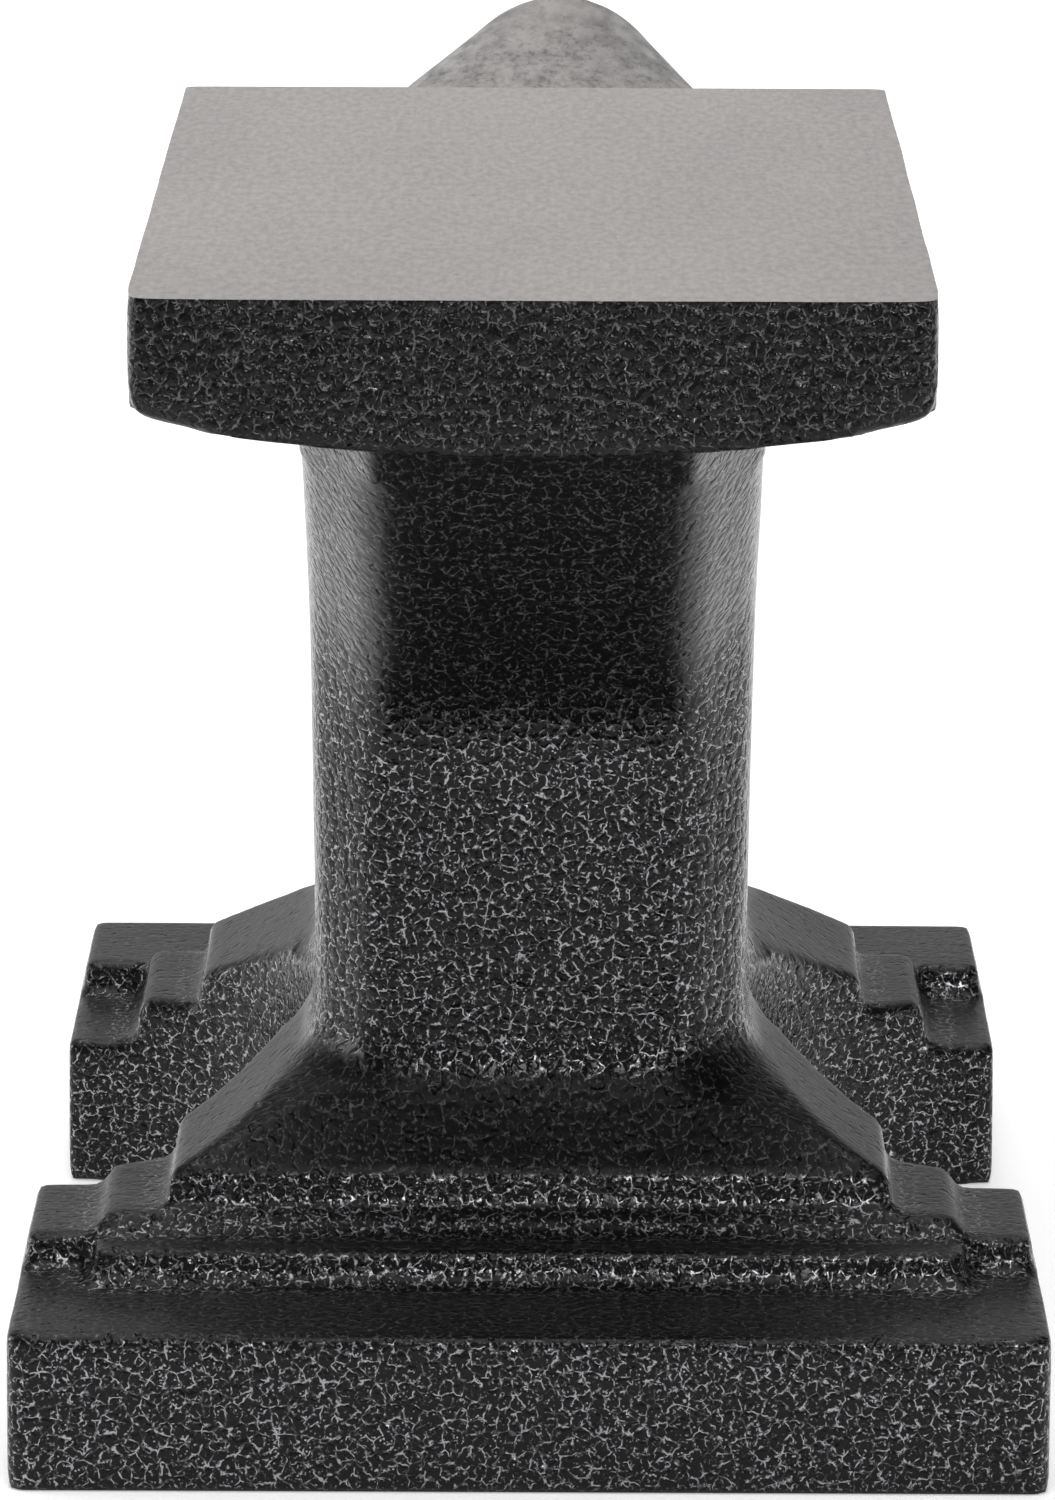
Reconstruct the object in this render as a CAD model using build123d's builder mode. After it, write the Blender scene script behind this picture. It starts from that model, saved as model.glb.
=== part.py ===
from build123d import *
import math
import os

# Small London-pattern anvil, in millimetres, +Z up.
# The long axis is Y, with the horn towards +Y and the heel towards -Y.
# The origin is the centre of the flat underside of the base.
# It is built up the way steel-faced anvils are: base, body, cutting table, horn and face plate.

# Overall sizes
base_length = 164.0
base_width = 95.0
total_height = 110.0
face_width = 72.2
face_length = 146.0
heel_overhang = 3.3
tip_y = 148.0

# Base: a plate with terraces, four corner lugs and a hipped roof up to the waist
plate_height = 14.7
low_terrace_width = 80.6
low_terrace_setback = 18.5
low_terrace_top = 17.9
high_terrace_width = 79.6
high_terrace_setback = 25.5
high_terrace_top = 19.6
roof_width = 67.2
roof_setback = 27.6
eaves_height = 23.0
roof_sag = 0.6
lug_width = 93.8
lug_top = 17.9
heel_lug_start = 24.4
heel_lug_length = 20.6
horn_lug_start = 139.0
horn_lug_length = 21.0
arch_centre_y = -1.4
arch_half_length = 36.0
arch_depth = 26.4

# Body: the waist, and the block that carries the face
seam_height = 32.0
waist_length = 92.0
waist_width_low = 40.8
waist_width_high = 42.8
waist_straight_top = 57.5
heel_sweep_radius = 18.0
heel_slope = 48.0
sweep_top = 99.0
corner_cut_along = 10.0
corner_cut_across = 7.0
side_depth = 10.9
middle_depth = 14.2
plate_thickness = 5.0

# Breast, the flare of the body under the horn end of the face
breast_start_y = 36.0
breast_start_bottom = 57.0
breast_side = 92.0
breast_bottom = 70.0

# Cutting table and horn
table_length = 14.0
table_drop = 4.0
table_end_width = 70.0
horn_root_width = 64.0
horn_root_height = 36.0
horn_half_angle = 18.0
tip_radius = 12.6
horn_lean = 2.6

# Rounded upright corners of the base plate
plate_corner_radius = 2.0

# Levels and stations that follow from them
heel_y = -base_length / 2 - heel_overhang
face_end_y = heel_y + face_length
table_end_y = face_end_y + table_length
table_top = total_height - table_drop
block_top = total_height - plate_thickness
side_bottom = total_height - side_depth
middle_bottom = total_height - middle_depth
waist_half = waist_length / 2

# The heel end of the waist, from its upright face through an arc into a straight slope under the heel
slope_angle = math.radians(heel_slope)
arc_end_y = -waist_half - heel_sweep_radius * (1 - math.cos(slope_angle))
arc_end_z = waist_straight_top + heel_sweep_radius * math.sin(slope_angle)
arc_middle_y = -waist_half - heel_sweep_radius * (1 - math.cos(slope_angle / 2))
arc_middle_z = waist_straight_top + heel_sweep_radius * math.sin(slope_angle / 2)
slope_end_y = arc_end_y - (sweep_top - arc_end_z) * math.tan(slope_angle)


def base_rectangle(width, start, length):
    """Draw a rectangle across the base, at a distance in from its heel end."""
    with Locations((0, -base_length / 2 + start + length / 2)):
        Rectangle(width, length)


def terrace(width, setback, bottom, top):
    """Add one step of the base, set back alike from both ends."""
    with BuildSketch(Plane.XY.offset(bottom)) as step:
        Rectangle(width, base_length - 2 * setback)
    extrude(step.sketch, amount=top - bottom)


def roof_profile(half_span, half_top):
    """Draw one roof section: short upright eaves, and slopes that sag a little."""
    middle = (half_span + half_top) / 2
    middle_height = (eaves_height + seam_height) / 2 - roof_sag
    with BuildLine() as outline:
        Line((half_top, seam_height), (-half_top, seam_height))
        ThreePointArc((-half_top, seam_height), (-middle, middle_height), (-half_span, eaves_height))
        Polyline(
            (-half_span, eaves_height),
            (-half_span, high_terrace_top),
            (half_span, high_terrace_top),
            (half_span, eaves_height),
        )
        ThreePointArc((half_span, eaves_height), (middle, middle_height), (half_top, seam_height))
    make_face(outline.edges())


def bowed_section(y, width, top, side, bottom):
    """Draw a section across the anvil: flat top, upright sides and a bowed underside."""
    half = width / 2
    with BuildSketch(Plane.XZ.offset(-y)) as section:
        with BuildLine():
            Polyline((-half, side), (-half, top), (half, top), (half, side))
            ThreePointArc((half, side), (0, bottom), (-half, side))
        make_face()
    return section.sketch


def corner_wedge(side, end):
    """Draw the wedge that cuts one waist corner: side is +1 or -1 in X, end is +1 at the heel."""
    corner = waist_width_high / 2
    slope = corner_cut_along / corner_cut_across
    beyond = 2.0
    front = -end * waist_half
    inner = corner - corner_cut_across
    with BuildSketch(Plane.XY) as wedge:
        with BuildLine() as outline:
            Polyline(
                (side * (inner - beyond / slope), front - end * beyond),
                (side * (corner + beyond), front - end * beyond),
                (side * (corner + beyond), front + end * (corner_cut_along + beyond * slope)),
                close=True,
            )
        make_face(outline.edges())
    return wedge.sketch


os.makedirs("parts", exist_ok=True)

# The roof, as the overlap of its cross section and its lengthwise section
with BuildPart() as roof:
    with BuildSketch(Plane.XZ):
        roof_profile(roof_width / 2, waist_width_low / 2)
    extrude(amount=base_length, both=True)
    with BuildSketch(Plane.YZ):
        roof_profile(base_length / 2 - roof_setback, waist_half)
    extrude(amount=base_width, both=True, mode=Mode.INTERSECT)
    # A slanted facet leads from each cut corner of the waist down to a corner of the eaves
    for side in (-1, 1):
        for end in (-1, 1):
            half_width = waist_width_low / 2
            waist_side = Vector(side * half_width, end * (waist_half - corner_cut_along), seam_height)
            waist_front = Vector(side * (half_width - corner_cut_across), end * waist_half, seam_height)
            eaves = Vector(side * roof_width / 2, end * (base_length / 2 - roof_setback), eaves_height)
            slant = (waist_front - waist_side).cross(eaves - waist_side)
            upward = slant if slant.Z > 0 else -slant
            split(bisect_by=Plane(waist_side, z_dir=upward), keep=Keep.BOTTOM)

# Base
with BuildPart() as base:
    with BuildSketch():
        Rectangle(base_width, base_length)
    extrude(amount=plate_height)
    fillet(base.edges().filter_by(Axis.Z), plate_corner_radius)
    terrace(low_terrace_width, low_terrace_setback, plate_height, low_terrace_top)
    terrace(high_terrace_width, high_terrace_setback, low_terrace_top, high_terrace_top)
    with BuildSketch(Plane.XY.offset(plate_height)):
        base_rectangle(lug_width, heel_lug_start, heel_lug_length)
        base_rectangle(lug_width, horn_lug_start, horn_lug_length)
    extrude(amount=lug_top - plate_height)
    add(roof.part)
    with BuildSketch():
        with Locations((base_width / 2, arch_centre_y), (-base_width / 2, arch_centre_y)):
            Ellipse(arch_depth, arch_half_length)
    extrude(amount=seam_height, mode=Mode.SUBTRACT)
base.part.label = "base"
export_step(base.part, "parts/base.step")

# Body: the waist, swept out under the heel and tapering a little downwards
with BuildPart() as body:
    with BuildSketch(Plane.YZ):
        with BuildLine():
            Polyline(
                (arc_end_y, arc_end_z),
                (slope_end_y, sweep_top),
                (waist_half, sweep_top),
                (waist_half, seam_height),
                (-waist_half, seam_height),
                (-waist_half, waist_straight_top),
            )
            ThreePointArc(
                (-waist_half, waist_straight_top), (arc_middle_y, arc_middle_z), (arc_end_y, arc_end_z)
            )
        make_face()
    extrude(amount=face_width / 2, both=True)
    with BuildSketch(Plane.XZ):
        with BuildLine():
            Polyline(
                (-waist_width_low / 2, seam_height),
                (waist_width_low / 2, seam_height),
                (waist_width_high / 2, sweep_top),
                (-waist_width_high / 2, sweep_top),
                close=True,
            )
        make_face()
    extrude(amount=base_length, both=True, mode=Mode.INTERSECT)

    # Its upright corners are cut off slantwise, all the way up the sweep
    with BuildLine() as heel_path:
        Line((0, -waist_half, 0), (0, -waist_half, waist_straight_top))
        ThreePointArc(
            (0, -waist_half, waist_straight_top), (0, arc_middle_y, arc_middle_z), (0, arc_end_y, arc_end_z)
        )
        Line((0, arc_end_y, arc_end_z), (0, slope_end_y, sweep_top))
    with BuildLine() as horn_path:
        Line((0, waist_half, 0), (0, waist_half, sweep_top))
    sweep(corner_wedge(-1, 1), path=heel_path.line, mode=Mode.SUBTRACT)
    sweep(corner_wedge(1, 1), path=heel_path.line, mode=Mode.SUBTRACT)
    sweep(corner_wedge(-1, -1), path=horn_path.line, mode=Mode.SUBTRACT)
    sweep(corner_wedge(1, -1), path=horn_path.line, mode=Mode.SUBTRACT)

    # The block under the face, and the breast below its horn end
    block_section = bowed_section(face_end_y, face_width, block_top, side_bottom, middle_bottom)
    extrude(block_section, amount=face_length)
    breast_start_side = (breast_start_bottom + side_bottom) / 2
    breast_start = bowed_section(
        breast_start_y, waist_width_low - 1, block_top, breast_start_side, breast_start_bottom
    )
    breast_end = bowed_section(face_end_y, face_width, block_top, breast_side, breast_bottom)
    loft([breast_start, breast_end])
body.part.label = "body"
export_step(body.part, "parts/body.step")

# Ground steel face plate
with BuildPart() as face_plate:
    with BuildSketch(Plane.XY.offset(block_top)):
        with Locations((0, heel_y + face_length / 2)):
            Rectangle(face_width, face_length)
    extrude(amount=plate_thickness)
face_plate.part.label = "face_plate"
export_step(face_plate.part, "parts/face_plate.step")

# Cutting table, a step down from the face
with BuildPart() as cutting_table:
    table_start = bowed_section(face_end_y, face_width, table_top, breast_side, breast_bottom)
    table_end = bowed_section(table_end_y, table_end_width, table_top, breast_side, breast_bottom)
    loft([table_start, table_end])
cutting_table.part.label = "cutting_table"
export_step(cutting_table.part, "parts/cutting_table.step")

# Horn: an oval root that tapers in straight lines to a circle, closed by a round tip
cap_centre_y = tip_y - tip_radius
cap_start_y = cap_centre_y + tip_radius * math.sin(math.radians(horn_half_angle))
cap_start_radius = tip_radius * math.cos(math.radians(horn_half_angle))
cap_height = total_height - cap_start_radius

with BuildPart() as horn_tip:
    with Locations((horn_lean, cap_centre_y, cap_height)):
        Sphere(tip_radius)
    split(bisect_by=Plane.XZ.offset(-cap_start_y), keep=Keep.BOTTOM)

with BuildPart() as horn:
    with BuildSketch(Plane.XZ.offset(-table_end_y)):
        with Locations((0, table_top - horn_root_height / 2)):
            Ellipse(horn_root_width / 2, horn_root_height / 2)
    with BuildSketch(Plane.XZ.offset(-cap_start_y)):
        with Locations((horn_lean, cap_height)):
            Ellipse(cap_start_radius, cap_start_radius)
    loft()
    add(horn_tip.part)
horn.part.label = "horn"
export_step(horn.part, "parts/horn.step")
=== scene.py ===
import math

import bmesh
import bpy
from mathutils import Euler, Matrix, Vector, noise


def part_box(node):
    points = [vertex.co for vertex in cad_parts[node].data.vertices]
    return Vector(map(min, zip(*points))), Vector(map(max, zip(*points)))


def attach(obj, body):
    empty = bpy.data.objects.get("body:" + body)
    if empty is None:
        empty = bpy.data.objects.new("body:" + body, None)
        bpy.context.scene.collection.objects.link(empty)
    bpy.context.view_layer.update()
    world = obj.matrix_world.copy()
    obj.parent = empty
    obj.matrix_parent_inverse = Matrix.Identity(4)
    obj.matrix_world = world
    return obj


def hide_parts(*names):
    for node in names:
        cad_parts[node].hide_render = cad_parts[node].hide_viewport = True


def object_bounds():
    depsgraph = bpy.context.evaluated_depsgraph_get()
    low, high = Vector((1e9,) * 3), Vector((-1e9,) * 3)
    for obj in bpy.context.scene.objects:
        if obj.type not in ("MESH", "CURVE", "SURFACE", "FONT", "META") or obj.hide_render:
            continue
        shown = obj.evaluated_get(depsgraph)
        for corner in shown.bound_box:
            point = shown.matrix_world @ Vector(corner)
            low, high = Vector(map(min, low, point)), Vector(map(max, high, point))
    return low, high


# Small bench anvil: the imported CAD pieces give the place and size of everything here, in metres.
# The pieces are cast over as one skin, so that paint and edges run on across their joints,
# and the skin is then cut at those joints into one closed piece for each CAD node.

VOXEL = 0.0008             # cell of the cast skin
SKIN_SMOOTHING = 4         # passes that round its edges
GRIND_ALLOWANCE = 0.0022   # height cast over the face, then ground off flat
FILLET_CLEARANCE = 0.0009  # a joint at a step is cut this far past it, beyond the rounded corner
TOUCHING = 1e-5            # how near counts as lying in a plane

WAIST_SMOOTHING = 40       # more passes for the waist
WAIST_FOOT = 0.003         # starting this far below its joint with the base
WAIST_HEAD = 0.013         # ending this far below the face plate
WAIST_HEEL = 0.003         # and keeping this far inside the heel end of the base

CORNER_SMOOTHING = 30      # more passes for the upright corners of the heel
CORNER_DEPTH = 0.02        # down to this far below the face
CORNER_REACH = 0.008       # and this far from a corner, along the side and the end together

HEEL_DRAFT = 0.06          # how far the heel end leans back, for each metre of height
HEEL_HEIGHT = 0.016        # the height of it that leans
HEEL_DEPTH = 0.006         # and how far in that is taken up

UNEVENNESS = 0.00007       # how far the cast surface wanders
UNEVEN_SPAN = 0.014        # over what distance
RIPPLE_SHARE = 0.35        # finer ripples on that, as a share of it
RIPPLE_SPAN = 0.3 * UNEVEN_SPAN
STANDING_HEIGHT = 0.004    # the height over which it grows from the flat underside

HOLLOW_GAIN = 8.0          # how soon a hollow counts as a crease, where the veins are strengthened as a painted highlight
HOLLOW_SPREAD = 0.85       # how much of it carries over to the next vertex
HOLLOW_PASSES = 2          # and how often

PLAIN_CAP = 1              # a cut that stays hidden in a joint
GROUND_CAP = 2             # the cut that makes the ground face

LARGE_CELL = 0.00135       # width of the larger cells between the veins of the paint
SMALL_CELL = 0.00085       # and of the finer ones over them
VEIN_WIDTH = 0.00011       # half the width of a silver vein
BLACK_COAT = (0.003, 0.003, 0.0035, 1.0)
SILVER_VEIN = (0.325, 0.325, 0.34, 1.0)
BLOCK_FOOT = 0.092         # height where the painted shade and the stronger relief start, at the foot of the face block
BLOCK_FULL_HEIGHT = 0.096       # and where they are full
SPECKED_LENGTH = 0.07      # length of the horn, from its root, over which its dark specks thin out

FLOOR_REACH = 6.0          # half the side of the studio floor
FLOOR_GREY = (0.86, 0.86, 0.86)
FLOOR_GLOW = 0.36
STUDIO_MIDDLE = (0.0, 0.0, 0.06)

CAMERA_DISTANCE = 0.835    # behind the heel end of the base
CAMERA_HEIGHT = 0.2381
CAMERA_ASIDE = 0.0010
CAMERA_PITCH = 11.444      # degrees below level
CAMERA_YAW = 0.091
CAMERA_ROLL = 0.222
LENS = 228.5               # millimetres, on a sensor 36 mm long

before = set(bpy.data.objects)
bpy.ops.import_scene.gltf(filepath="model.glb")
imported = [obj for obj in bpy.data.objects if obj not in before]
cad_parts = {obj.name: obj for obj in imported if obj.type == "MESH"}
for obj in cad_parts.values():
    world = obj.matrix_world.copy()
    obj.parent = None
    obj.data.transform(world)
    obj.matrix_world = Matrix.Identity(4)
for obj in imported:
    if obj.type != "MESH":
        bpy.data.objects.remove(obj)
cad_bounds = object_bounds()


# ---------------------------------------------------------------- nodes

def new_material(name):
    """An empty node material, with its node tree and its Principled shader."""
    material = bpy.data.materials.new(name)
    material.use_nodes = True
    tree = material.node_tree
    tree.nodes.clear()
    output = tree.nodes.new("ShaderNodeOutputMaterial")
    shader = tree.nodes.new("ShaderNodeBsdfPrincipled")
    tree.links.new(shader.outputs["BSDF"], output.inputs["Surface"])
    return material, tree, shader


def set_inputs(tree, node, inputs):
    """Link each input of a node to a socket, or set it to a value."""
    for key, value in inputs.items():
        if isinstance(value, bpy.types.NodeSocket):
            tree.links.new(value, node.inputs[key])
        else:
            node.inputs[key].default_value = value


def add_node(tree, kind, inputs=None, **settings):
    """Add a node, set its properties, and set or link its inputs."""
    node = tree.nodes.new("ShaderNode" + kind)
    for key, value in settings.items():
        setattr(node, key, value)
    set_inputs(tree, node, inputs or {})
    return node


def maths(tree, operation, first, second=0.0, clamp=False):
    """The result socket of one Math node."""
    settings = {"operation": operation, "use_clamp": clamp}
    return add_node(tree, "Math", {0: first, 1: second}, **settings).outputs[0]


def total(tree, first, second):
    """One value plus another."""
    return maths(tree, "ADD", first, second)


def difference(tree, first, second):
    """One value less another."""
    return maths(tree, "SUBTRACT", first, second)


def product(tree, first, second, clamp=False):
    """One value times another."""
    return maths(tree, "MULTIPLY", first, second, clamp)


def ramp(tree, value, low, high, low_out=0.0, high_out=1.0):
    """Map a value smoothly from one range to another."""
    limits = {"From Min": low, "From Max": high, "To Min": low_out, "To Max": high_out}
    node = add_node(tree, "MapRange", {"Value": value, **limits}, interpolation_type="SMOOTHSTEP")
    return node.outputs["Result"]


def noise_value(tree, place, scale, detail=2.0, roughness=0.5):
    """The grey value of one Noise Texture."""
    inputs = {"Vector": place, "Scale": scale, "Detail": detail, "Roughness": roughness}
    return add_node(tree, "TexNoise", inputs).outputs["Fac"]


def blend_colours(tree, fraction, first, second):
    """The colour between two, by a fraction."""
    node = add_node(tree, "Mix", data_type="RGBA")
    set_inputs(tree, node, {0: fraction, 6: first, 7: second})
    return node.outputs[2]


def tinted_grey(tree, tone, green, blue):
    """A grey of some tone, with its green and blue scaled."""
    channels = {
        "Red": tone,
        "Green": product(tree, tone, green),
        "Blue": product(tree, tone, blue),
    }
    return add_node(tree, "CombineColor", channels).outputs["Color"]


def link_bump(tree, shader, relief, strength, distance):
    """Give a shader bumps from a relief."""
    bump = add_node(tree, "Bump", {"Height": relief, "Strength": strength, "Distance": distance})
    tree.links.new(bump.outputs["Normal"], shader.inputs["Normal"])


def object_place(tree):
    """Object coordinates."""
    return add_node(tree, "TexCoord").outputs["Object"]


def stretched_place(tree, place, scales):
    """Object coordinates stretched differently along X, Y and Z."""
    return add_node(tree, "Mapping", {"Vector": place, "Scale": scales}).outputs["Vector"]


def surface_place(tree):
    """Object coordinates, the same without their nearest axis, and how level the surface is."""
    source = add_node(tree, "TexCoord")
    place = add_node(tree, "SeparateXYZ", {"Vector": source.outputs["Object"]}).outputs
    facing = add_node(tree, "SeparateXYZ", {"Vector": source.outputs["Normal"]}).outputs
    sideways, ahead, up = (maths(tree, "ABSOLUTE", facing[axis]) for axis in "XYZ")
    is_top = maths(tree, "GREATER_THAN", up, maths(tree, "MAXIMUM", sideways, ahead))
    is_side = maths(tree, "GREATER_THAN", sideways, maths(tree, "MAXIMUM", ahead, up))
    across = add_node(tree, "Mix", {0: is_side, 2: place["X"], 3: place["Y"]}, data_type="FLOAT")
    along = add_node(tree, "Mix", {0: is_top, 2: place["Z"], 3: place["Y"]}, data_type="FLOAT")
    flat = add_node(tree, "CombineXYZ", {"X": across.outputs[0], "Y": along.outputs[0]})
    return source.outputs["Object"], flat.outputs[0], up


# ---------------------------------------------------------------- materials

def vein_mask(tree, place, cell, seed, shown):
    """Broken veins around irregular cells, 1 on a vein, and the distance to a cell's edge."""
    offset_inputs = {0: place, 1: (seed, seed, 0.0)}
    offset = add_node(tree, "VectorMath", offset_inputs, operation="ADD").outputs[0]
    scatter = add_node(tree, "TexNoise", {"Vector": offset, "Scale": 1.6 / cell, "Detail": 1.0})
    centre_inputs = {0: scatter.outputs["Color"], 1: (0.5, 0.5, 0.5)}
    centred = add_node(tree, "VectorMath", centre_inputs, operation="SUBTRACT").outputs[0]
    shift_inputs = {0: centred, "Scale": 0.75 * cell}
    shift = add_node(tree, "VectorMath", shift_inputs, operation="SCALE").outputs[0]
    moved = add_node(tree, "VectorMath", {0: offset, 1: shift}, operation="ADD").outputs[0]
    cells = add_node(
        tree,
        "TexVoronoi",
        {"Vector": moved, "Scale": 1.0 / cell},
        feature="DISTANCE_TO_EDGE",
        voronoi_dimensions="2D",
    )
    edge_distance = cells.outputs["Distance"]
    line = ramp(tree, edge_distance, VEIN_WIDTH / cell, 0.1 * VEIN_WIDTH / cell)
    gap_noise = noise_value(tree, offset, 1.5 / cell)
    gaps = ramp(tree, gap_noise, 1.0 - shown, 1.14 - shown)
    return product(tree, line, gaps), edge_distance


def make_vein_paint():
    """Glossy black paint crossed by a net of fine silver veins, over an uneven casting."""
    material, tree, shader = new_material("vein_paint")
    place, flat_place, slope = surface_place(tree)
    height = add_node(tree, "SeparateXYZ", {"Vector": place}).outputs["Z"]
    on_block = ramp(tree, height, BLOCK_FOOT, BLOCK_FULL_HEIGHT)
    level = ramp(tree, slope, 0.3, 0.75)
    hollow = add_node(tree, "Attribute", attribute_name="hollow").outputs["Fac"]

    # the net: large and small veins, and dots in patches
    large_veins, large_cells = vein_mask(tree, flat_place, LARGE_CELL, seed=0.0, shown=0.6)
    small_veins, _ = vein_mask(tree, flat_place, SMALL_CELL, seed=0.37, shown=0.5)
    speck_inputs = {"Vector": flat_place, "Scale": 1900.0}
    specks = add_node(tree, "TexVoronoi", speck_inputs, voronoi_dimensions="2D")
    in_patch = ramp(tree, noise_value(tree, place, 1300.0, 1.0), 0.5, 0.62)
    dots = product(tree, ramp(tree, specks.outputs["Distance"], 0.24, 0.1), in_patch)
    veins = maths(tree, "MAXIMUM", large_veins, product(tree, small_veins, 0.75))
    veins = maths(tree, "MAXIMUM", veins, product(tree, dots, 0.8))

    # how much of it shows: most on upright faces, more in creases as a painted highlight, fewer on
    # slopes, level tops and the face block as painted shade
    fading = ramp(tree, noise_value(tree, place, 1700.0), 0.35, 0.65, 0.12, 1.45)
    # fewer veins on slopes and level tops: painted shade, darkening the flare and the roof under
    # the heel
    slope_shade_factor = ramp(tree, slope, 0.15, 0.6, 1.0, 0.22)
    # more veins in creases: a painted highlight along the crease at the foot of the waist and along
    # the steps
    painted_crease_highlight = ramp(tree, hollow, 0.1, 0.5)
    # fewer veins on the face block: painted shade, darkening its heel end
    block_shade_factor = difference(tree, 1.0, product(tree, on_block, 0.7))
    shown = product(tree, maths(tree, "MAXIMUM", slope_shade_factor, painted_crease_highlight), block_shade_factor)
    vein_strength = product(tree, product(tree, veins, fading), shown, clamp=True)

    colour = blend_colours(tree, vein_strength, BLACK_COAT, SILVER_VEIN)
    tree.links.new(colour, shader.inputs["Base Color"])
    tree.links.new(ramp(tree, vein_strength, 0.0, 0.6), shader.inputs["Metallic"])
    gloss = ramp(tree, vein_strength, 0.0, 1.0, 0.17, 0.34)
    roughness = total(tree, gloss, product(tree, level, 0.22))
    tree.links.new(roughness, shader.inputs["Roughness"])
    shader.inputs["Specular IOR Level"].default_value = 0.18

    # the relief: raised cells and orange peel, calmer on level tops, and pits, deeper there
    blisters = product(tree, ramp(tree, large_cells, 0.0, 0.45), 0.45)
    peel = product(tree, noise_value(tree, place, 480.0), 1.3)
    pits = product(tree, ramp(tree, noise_value(tree, place, 750.0, 1.0), 0.28, 0.4), 0.5)
    calm = difference(tree, 1.0, product(tree, level, 0.6))
    relief = product(tree, total(tree, blisters, peel), calm)
    relief = total(tree, relief, product(tree, pits, total(tree, 1.0, level)))
    relief = product(tree, relief, total(tree, 1.0, product(tree, on_block, 0.9)))
    link_bump(tree, shader, relief, strength=0.8, distance=0.00018)
    return material


def make_ground_steel():
    """Steel ground flat: fine marks along the anvil, faint clouds and a few pinholes."""
    material, tree, shader = new_material("ground_steel")
    place = object_place(tree)
    marks = noise_value(tree, stretched_place(tree, place, (2400.0, 120.0, 300.0)), 1.0, 3.0, 0.6)
    grain = noise_value(tree, stretched_place(tree, place, (1300.0, 420.0, 300.0)), 1.0, 4.0, 0.65)
    clouds = noise_value(tree, stretched_place(tree, place, (45.0, 14.0, 30.0)), 1.0, 4.0, 0.55)

    hole_place = stretched_place(tree, place, (260.0, 330.0, 260.0))
    holes = add_node(tree, "TexVoronoi", {"Vector": hole_place, "Scale": 1.0})
    in_patch = ramp(tree, noise_value(tree, place, 60.0, 1.0), 0.45, 0.6)
    pinholes = product(tree, ramp(tree, holes.outputs["Distance"], 0.13, 0.06), in_patch)

    cloud_tone = ramp(tree, clouds, 0.3, 0.7, -0.042, 0.042)
    tone = total(tree, cloud_tone, ramp(tree, marks, 0.3, 0.7, 0.37, 0.41))
    tone = total(tree, tone, ramp(tree, grain, 0.3, 0.7, -0.08, 0.08))
    tone = difference(tree, tone, product(tree, pinholes, 0.12))
    colour = tinted_grey(tree, tone, green=0.925, blue=0.892)
    tree.links.new(colour, shader.inputs["Base Color"])
    shader.inputs["Metallic"].default_value = 1.0
    tree.links.new(ramp(tree, clouds, 0.3, 0.7, 0.3, 0.34), shader.inputs["Roughness"])

    relief = difference(tree, total(tree, marks, grain), product(tree, pinholes, 3.0))
    link_bump(tree, shader, relief, strength=0.35, distance=0.00004)
    return material


def make_horn_steel():
    """Coarsely ground steel, mottled, with dark cast skin left in specks near the root."""
    material, tree, shader = new_material("horn_steel")
    place = object_place(tree)
    along = add_node(tree, "SeparateXYZ", {"Vector": place}).outputs["Y"]
    root_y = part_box("horn")[0].y
    near_root = ramp(tree, along, root_y + SPECKED_LENGTH, root_y)
    drawn = stretched_place(tree, place, (1.0, 0.28, 1.0))
    mottle = noise_value(tree, drawn, 420.0, 4.0, 0.6)
    clouds = noise_value(tree, drawn, 110.0)
    speck_limit = difference(tree, 0.64, product(tree, near_root, 0.14))
    specks = maths(tree, "GREATER_THAN", noise_value(tree, drawn, 1500.0, 2.0, 0.6), speck_limit)

    mottled_tone = ramp(tree, mottle, 0.3, 0.7, 0.235, 0.455)
    tone = total(tree, mottled_tone, ramp(tree, clouds, 0.3, 0.7, -0.02, 0.02))
    tone = difference(tree, tone, product(tree, specks, 0.09))
    colour = tinted_grey(tree, tone, green=0.945, blue=0.92)
    tree.links.new(colour, shader.inputs["Base Color"])
    shader.inputs["Metallic"].default_value = 1.0
    tree.links.new(ramp(tree, mottle, 0.3, 0.7, 0.5, 0.36), shader.inputs["Roughness"])

    relief = difference(tree, mottle, product(tree, specks, 0.8))
    link_bump(tree, shader, relief, strength=0.5, distance=0.00012)
    return material


def make_light_table(name, colour, glow):
    """A plain matt studio floor that glows a little, so that it stays pale far from the lights."""
    material, _, shader = new_material(name)
    shader.inputs["Base Color"].default_value = (*colour, 1.0)
    shader.inputs["Roughness"].default_value = 0.9
    shader.inputs["Emission Color"].default_value = (*colour, 1.0)
    shader.inputs["Emission Strength"].default_value = glow
    return material


# ---------------------------------------------------------------- the cast skin

def clamped(value, low=0.0, high=1.0):
    """A value kept between two limits."""
    return min(max(value, low), high)


def joined_nodes(names):
    """One mesh of copies of the named CAD nodes."""
    joined = bmesh.new()
    for name in names:
        joined.from_mesh(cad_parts[name].data)
    bmesh.ops.remove_doubles(joined, verts=joined.verts, dist=1e-7)
    return joined


def remeshed(source):
    """The mesh after a voxel remesh and some smoothing, as a new bmesh."""
    mesh = bpy.data.meshes.new("cast_source")
    source.to_mesh(mesh)
    holder = bpy.data.objects.new("cast_source", mesh)
    bpy.context.scene.collection.objects.link(holder)
    remesh = holder.modifiers.new("skin", "REMESH")
    remesh.mode = "VOXEL"
    remesh.voxel_size = VOXEL
    smooth = holder.modifiers.new("rounding", "SMOOTH")
    smooth.factor = 0.5
    smooth.iterations = SKIN_SMOOTHING
    graph = bpy.context.evaluated_depsgraph_get()
    result = bmesh.new()
    result.from_object(holder, graph)
    bpy.data.objects.remove(holder)
    return result


def smooth_region(skin, vertices, passes):
    """Smooth only some vertices of a mesh."""
    axes = {"use_axis_x": True, "use_axis_y": True, "use_axis_z": True}
    for _ in range(passes):
        bmesh.ops.smooth_vert(skin, verts=vertices, factor=0.5, **axes)


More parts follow.
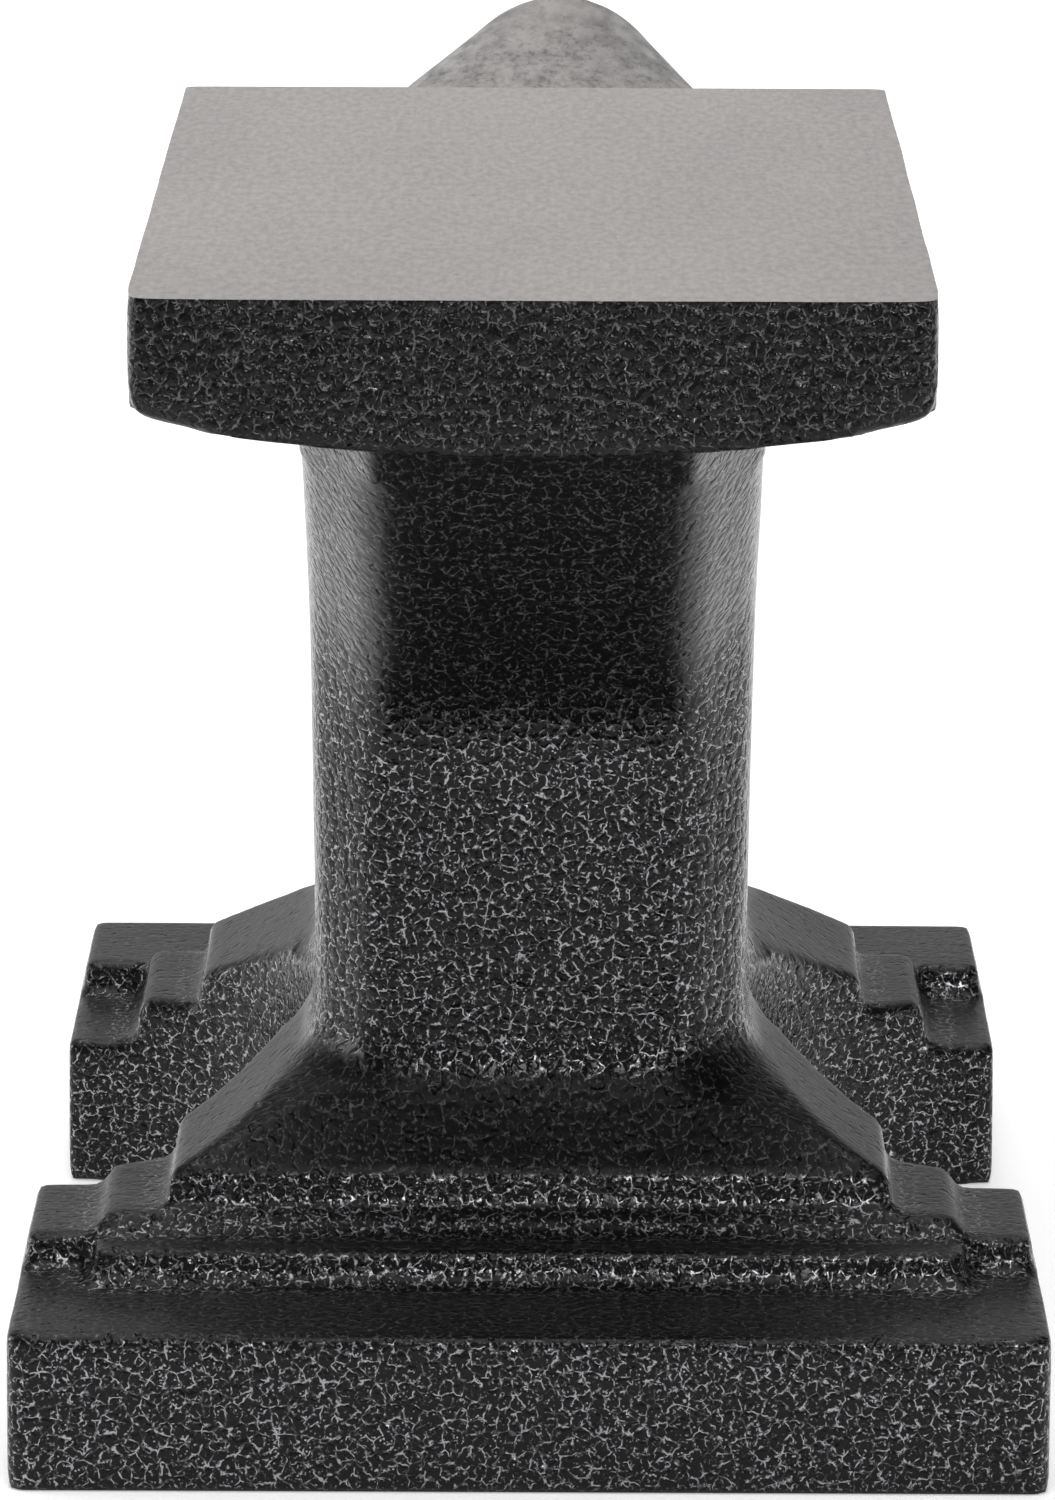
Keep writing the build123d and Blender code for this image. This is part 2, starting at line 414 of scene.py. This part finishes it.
def raise_face(source):
    """Add the height over the face that is later ground off."""
    _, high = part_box("face_plate")
    for vertex in source.verts:
        if vertex.co.z > high.z - TOUCHING and vertex.co.y < high.y + TOUCHING:
            vertex.co.z += GRIND_ALLOWANCE


def smooth_waist(skin):
    """Soften the waist and the feet of its chamfers."""
    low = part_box("body")[0].z - WAIST_FOOT
    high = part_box("face_plate")[0].z - WAIST_HEAD
    heel_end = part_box("base")[0].y + WAIST_HEEL
    waist = [v for v in skin.verts if low < v.co.z < high and v.co.y > heel_end]
    smooth_region(skin, waist, WAIST_SMOOTHING)


def smooth_heel_corners(skin):
    """Soften the upright corners of the face block, at its heel end."""
    low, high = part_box("face_plate")
    corners = []
    for vertex in skin.verts:
        place = vertex.co
        beside = min(place.x - low.x, high.x - place.x)
        if place.z > high.z - CORNER_DEPTH and beside + (place.y - low.y) < CORNER_REACH:
            corners.append(vertex)
    smooth_region(skin, corners, CORNER_SMOOTHING)


def lean_heel(skin):
    """Lean the heel end of the face block back towards its top."""
    end, block_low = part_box("face_plate")[0].y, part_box("body")[1].z - HEEL_HEIGHT
    for vertex in skin.verts:
        above, inward = vertex.co.z - block_low, vertex.co.y - end
        if above > 0.0 and inward < HEEL_DEPTH:
            vertex.co.y += HEEL_DRAFT * above * (1.0 - max(inward, 0.0) / HEEL_DEPTH)
    skin.normal_update()


def make_uneven(skin):
    """Let the surface wander along its normals, but not below the floor or out of the CAD box
    sideways.
    """
    for vertex in skin.verts:
        height = noise.noise(vertex.co / UNEVEN_SPAN)
        height += RIPPLE_SHARE * noise.noise(vertex.co / RIPPLE_SPAN)
        standing = clamped(vertex.co.z / STANDING_HEIGHT)
        vertex.co += vertex.normal * height * UNEVENNESS * standing
        vertex.co.x = clamped(vertex.co.x, cad_bounds[0][0], cad_bounds[1][0])
        vertex.co.z = max(vertex.co.z, 0.0)
    skin.normal_update()


def store_hollows(skin):
    """Keep how hollow the surface is at each vertex, from 0 on flats and ridges to 1 in creases."""
    hollow = skin.verts.layers.float.new("hollow")
    for vertex in skin.verts:
        ring = [edge.other_vert(vertex).co for edge in vertex.link_edges]
        middle = sum(ring, Vector()) / len(ring)
        lift = (middle - vertex.co).dot(vertex.normal) / VOXEL
        vertex[hollow] = clamped(lift * HOLLOW_GAIN)
    for _ in range(HOLLOW_PASSES):
        spread = []
        for vertex in skin.verts:
            around = [edge.other_vert(vertex)[hollow] for edge in vertex.link_edges]
            spread.append(max([vertex[hollow]] + [HOLLOW_SPREAD * value for value in around]))
        for vertex, value in zip(skin.verts, spread):
            vertex[hollow] = value


def cast_skin():
    """The whole anvil as one uneven casting, with spare height over the face."""
    source = joined_nodes(sorted(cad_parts))
    raise_face(source)
    skin = remeshed(source)
    source.free()
    smooth_waist(skin)
    smooth_heel_corners(skin)
    lean_heel(skin)
    make_uneven(skin)
    kept_normal = skin.verts.layers.float_vector.new("kept_normal")
    skin.faces.layers.int.new("cap")
    store_hollows(skin)
    for vertex in skin.verts:
        vertex[kept_normal] = vertex.normal
    return skin


# ---------------------------------------------------------------- the pieces

def cut_away(source, point, normal, cap_kind=PLAIN_CAP):
    """A copy of a closed mesh without what lies beyond a plane, closed by a flat cap."""
    part = source.copy()
    everything = part.verts[:] + part.edges[:] + part.faces[:]
    cut = bmesh.ops.bisect_plane(
        part, geom=everything, plane_co=point, plane_no=normal, clear_outer=True, dist=1e-7
    )
    rim = [item for item in cut["geom_cut"] if isinstance(item, bmesh.types.BMEdge)]
    filled = bmesh.ops.triangle_fill(part, use_beauty=True, edges=rim, normal=normal)
    cap = part.faces.layers.int["cap"]
    for item in filled["geom"]:
        if isinstance(item, bmesh.types.BMFace):
            item[cap] = cap_kind
    return part


def cut_in_two(source, point, normal):
    """Both closed halves of a closed mesh: the near one, then the one beyond the plane."""
    normal = Vector(normal)
    halves = cut_away(source, point, normal), cut_away(source, point, -normal)
    source.free()
    return halves


def finished_piece(name, part, node, materials):
    """Make a piece from its mesh, with the normals of the uncut casting and flat caps."""
    kept_normal = part.verts.layers.float_vector["kept_normal"]
    cap = part.faces.layers.int["cap"]
    part.normal_update()
    normals = []
    for face in part.faces:
        face.smooth = True
        face.material_index = 1 if face[cap] == GROUND_CAP else 0
        is_flat = face[cap] != 0
        for corner in face.loops:
            kept = corner.vert[kept_normal].normalized()
            normals.append(face.normal.copy() if is_flat else kept)
    mesh = bpy.data.meshes.new(name)
    part.to_mesh(mesh)
    part.free()
    mesh.normals_split_custom_set(normals)
    for attribute in ("kept_normal", "cap"):
        mesh.attributes.remove(mesh.attributes[attribute])
    piece = bpy.data.objects.new(name, mesh)
    bpy.context.scene.collection.objects.link(piece)
    for material in materials:
        mesh.materials.append(material)
    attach(piece, "root")
    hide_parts(node)


def build_anvil():
    """Cast the skin, grind the face and cut the pieces apart."""
    paint, steel, horn_steel = make_vein_paint(), make_ground_steel(), make_horn_steel()
    face_low, face_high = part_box("face_plate")
    waist_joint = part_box("body")[0].z
    table_joint = face_high.y + FILLET_CLEARANCE
    horn_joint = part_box("cutting_table")[1].y + FILLET_CLEARANCE

    base, upper = cut_in_two(cast_skin(), (0, 0, waist_joint), (0, 0, 1))
    middle, horn = cut_in_two(upper, (0, horn_joint, 0), (0, 1, 0))
    main, table = cut_in_two(middle, (0, table_joint, 0), (0, 1, 0))
    ground = cut_away(main, (0, 0, face_high.z), (0, 0, 1), cap_kind=GROUND_CAP)
    main.free()
    body, plate = cut_in_two(ground, (0, 0, face_low.z), (0, 0, 1))

    finished_piece("anvil_base", base, "base", [paint])
    finished_piece("anvil_body", body, "body", [paint])
    finished_piece("anvil_face_plate", plate, "face_plate", [paint, steel])
    finished_piece("anvil_cutting_table", table, "cutting_table", [paint])
    finished_piece("anvil_horn", horn, "horn", [horn_steel])


# ---------------------------------------------------------------- studio

def add_area_light(name, place, target, size, power, length=None, spread=180.0):
    """A soft light aimed at a point, square unless it is given a length, its spread in degrees."""
    light = bpy.data.lights.new(name, "AREA")
    light.size = size
    if length:
        light.shape = "RECTANGLE"
        light.size_y = length
    light.energy = power
    light.spread = math.radians(spread)
    lamp = bpy.data.objects.new(name, light)
    lamp.location = place
    lamp.rotation_euler = (Vector(target) - Vector(place)).to_track_quat("-Z", "Y").to_euler()
    bpy.context.scene.collection.objects.link(lamp)


def add_floor():
    """A wide, plain, pale floor."""
    mesh = bpy.data.meshes.new("studio_floor")
    signs = ((-1, -1), (1, -1), (1, 1), (-1, 1))
    corners = [(x * FLOOR_REACH, y * FLOOR_REACH, 0) for x, y in signs]
    mesh.from_pydata(corners, [], [(0, 1, 2, 3)])
    mesh.materials.append(make_light_table("pale_floor", FLOOR_GREY, FLOOR_GLOW))
    floor = bpy.data.objects.new("studio_floor", mesh)
    bpy.context.scene.collection.objects.link(floor)


def add_world():
    """Pale surroundings: brightest near the horizon, on the left and beyond the horn."""
    world = bpy.data.worlds.new("studio_world")
    world.use_nodes = True
    tree = world.node_tree
    source = add_node(tree, "TexCoord").outputs["Generated"]
    direction = add_node(tree, "SeparateXYZ", {"Vector": source}).outputs
    fade_height = ramp(tree, direction["Y"], -0.4, 0.3, 0.85, 0.48)
    near_horizon = ramp(tree, direction["Z"], 0.16, fade_height, 1.0, 0.04)
    behind = ramp(tree, direction["Y"], -0.7, 0.5, 0.55, 1.0)
    leftwards = ramp(tree, direction["X"], -0.6, 0.8, 1.0, 0.6)
    brightness = product(tree, near_horizon, product(tree, behind, leftwards))
    tree.links.new(brightness, tree.nodes["Background"].inputs["Strength"])
    tree.nodes["Background"].inputs["Color"].default_value = (1.0, 1.0, 1.0, 1.0)
    bpy.context.scene.world = world


def build_studio():
    """A pale floor, pale surroundings and soft lights from above, the sides and the front."""
    add_floor()
    add_world()
    # the long softbox is aimed straight down, which keeps its length along the anvil
    add_area_light(
        "overhead_softbox", (-0.03, 0.45, 0.8), (-0.03, 0.45, 0.0),
        size=0.5, power=6.6, length=2.1, spread=120.0,
    )
    add_area_light("left_softbox", (-1.05, 0.3, 0.5), STUDIO_MIDDLE, size=0.5, power=3.0)
    add_area_light("right_softbox", (0.9, -0.5, 0.15), STUDIO_MIDDLE, size=0.25, power=1.2)
    add_area_light("front_softbox", (0.16, -1.0, 0.65), STUDIO_MIDDLE, size=0.3, power=3.4)
    bpy.context.scene.view_settings.view_transform = "Standard"


def add_camera():
    """A long lens looking along the anvil from behind the heel and a little above it."""
    camera_data = bpy.data.cameras.new("camera")
    camera_data.sensor_width = 36.0
    camera_data.lens = LENS
    camera_data.clip_start = 0.05
    camera_data.clip_end = 30.0
    camera = bpy.data.objects.new("camera", camera_data)
    heel_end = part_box("base")[0].y
    camera.location = (CAMERA_ASIDE, heel_end - CAMERA_DISTANCE, CAMERA_HEIGHT)
    tilt = math.radians(90.0 - CAMERA_PITCH)
    camera.rotation_euler = Euler((tilt, 0.0, math.radians(CAMERA_YAW)), "XYZ")
    camera.rotation_euler.rotate_axis("Z", math.radians(CAMERA_ROLL))
    bpy.context.scene.collection.objects.link(camera)
    bpy.context.scene.camera = camera


add_camera()
build_studio()
build_anvil()
